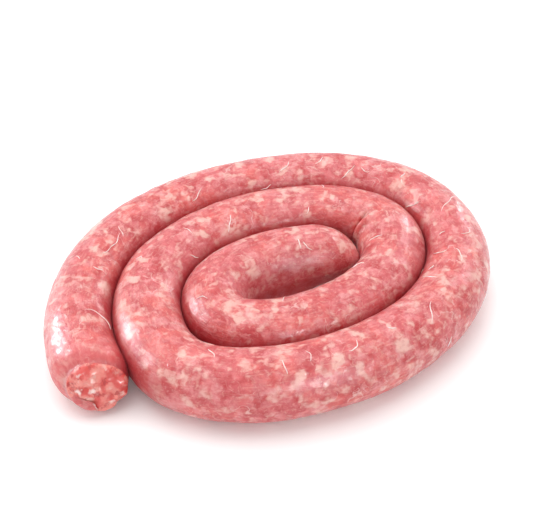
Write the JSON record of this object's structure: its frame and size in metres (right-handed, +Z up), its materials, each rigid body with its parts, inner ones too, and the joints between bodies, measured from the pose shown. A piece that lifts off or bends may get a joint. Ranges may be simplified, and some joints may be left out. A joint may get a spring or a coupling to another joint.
{
  "type": "coiled fresh sausage",
  "caption": "Raw fresh sausage in natural casing, one length coiled flat in an oval spiral, with a rounded inner tip and a cut outer end that shows the coarse minced filling.",
  "frame": {"origin": "middle of the footprint, on the surface the coil rests on", "axes": "+X to the right along the coil's longer side, +Y away from the cut end's side, +Z up, square to the flat coil"},
  "size_m": [0.2428, 0.2094, 0.0355],
  "materials": {
    "casing": "wet natural casing, glossy, thin enough to show the mince through it",
    "filling": "raw coarse mince with pale fat"
  },
  "bodies": {
    "root": {"casing": "casing", "filling": "filling"}
  },
  "joints": []
}
